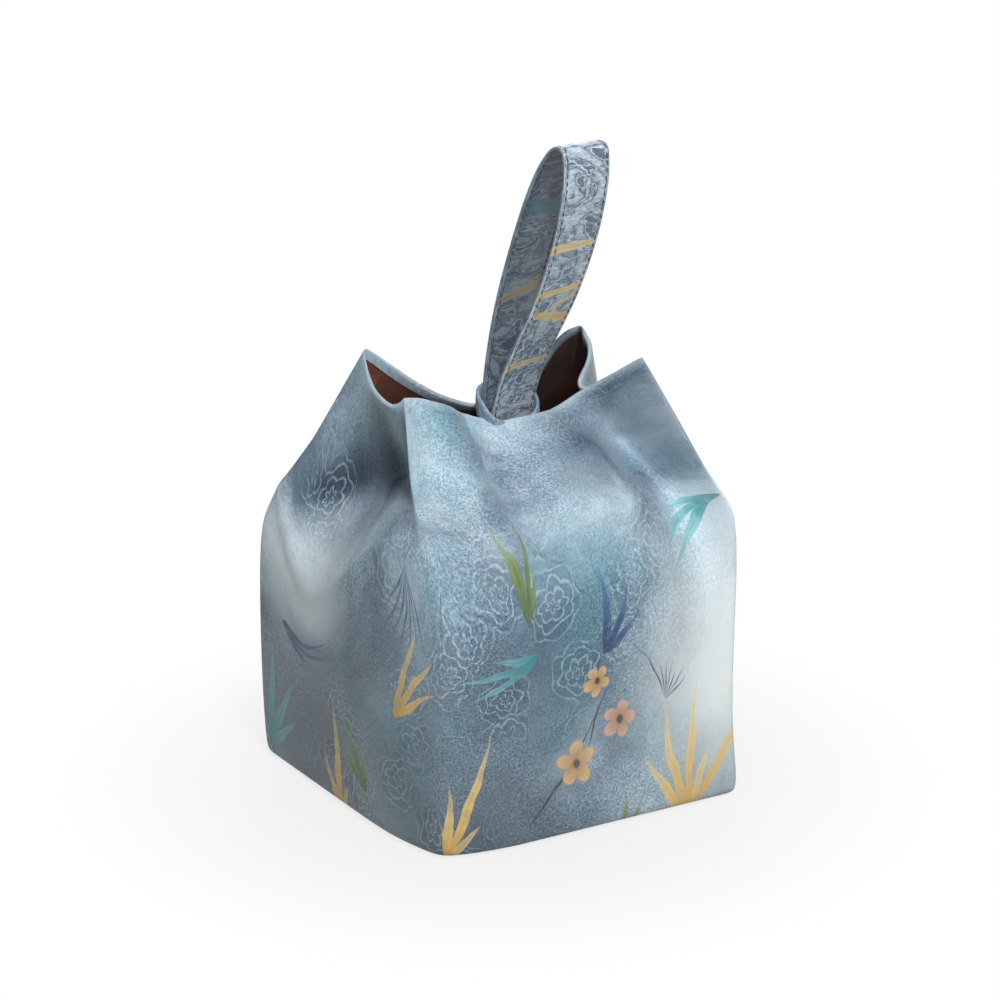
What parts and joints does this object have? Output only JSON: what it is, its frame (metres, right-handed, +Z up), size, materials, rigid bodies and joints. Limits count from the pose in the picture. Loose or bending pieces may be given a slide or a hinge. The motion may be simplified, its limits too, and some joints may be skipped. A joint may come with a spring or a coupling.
{
  "type": "drawstring pouch",
  "caption": "Square-bottomed cloth wrist bag with a folded-in mouth, drawn shut by a flat strap handle that runs up through a sewn keeper loop",
  "frame": {"origin": "middle of the base, on the surface the bag stands on", "axes": "+X along the front face to the right, +Y from the front face to the back, +Z up toward the handle"},
  "size_m": [0.1603, 0.1595, 0.2992],
  "materials": {
    "printed_cloth": "satin",
    "lining_cloth": "satin",
    "strap_cloth": "satin",
    "wadding": "matte",
    "strap_core": "matte",
    "base_board": "matte"
  },
  "bodies": {
    "bag": {"outer_front_left_lower": "printed_cloth", "outer_back_right_lower": "printed_cloth", "lining_front_left_lower": "lining_cloth", "lining_back_right_lower": "lining_cloth", "wadding_front": "wadding", "wadding_right": "wadding", "wadding_back": "wadding", "wadding_left": "wadding", "outer_base_panel": "printed_cloth", "base_board": "base_board", "lining_base_panel": "lining_cloth"},
    "drawn_top": {"outer_front_left_upper": "printed_cloth", "outer_back_right_upper": "printed_cloth", "lining_front_left_upper": "lining_cloth", "lining_back_right_upper": "lining_cloth", "keeper_loop": "strap_cloth", "strap_tail_front": "strap_cloth", "strap_tail_back": "strap_cloth"},
    "handle": {"strap_neck": "strap_cloth", "strap_outer_strip": "strap_cloth", "strap_core": "strap_core", "strap_inner_strip": "strap_cloth"}
  },
  "joints": [
    {"name": "mouth_draw", "type": "slide", "parent": "bag", "child": "drawn_top", "axis": [0, 0, 1], "range_m": [0, 0.012]},
    {"name": "handle_fold", "type": "hinge", "parent": "drawn_top", "child": "handle", "pos_m": [0.005, 0.0004, 0.18814], "axis": [0.9781, 0.2079, 0], "range_deg": [-80, 58]}
  ]
}
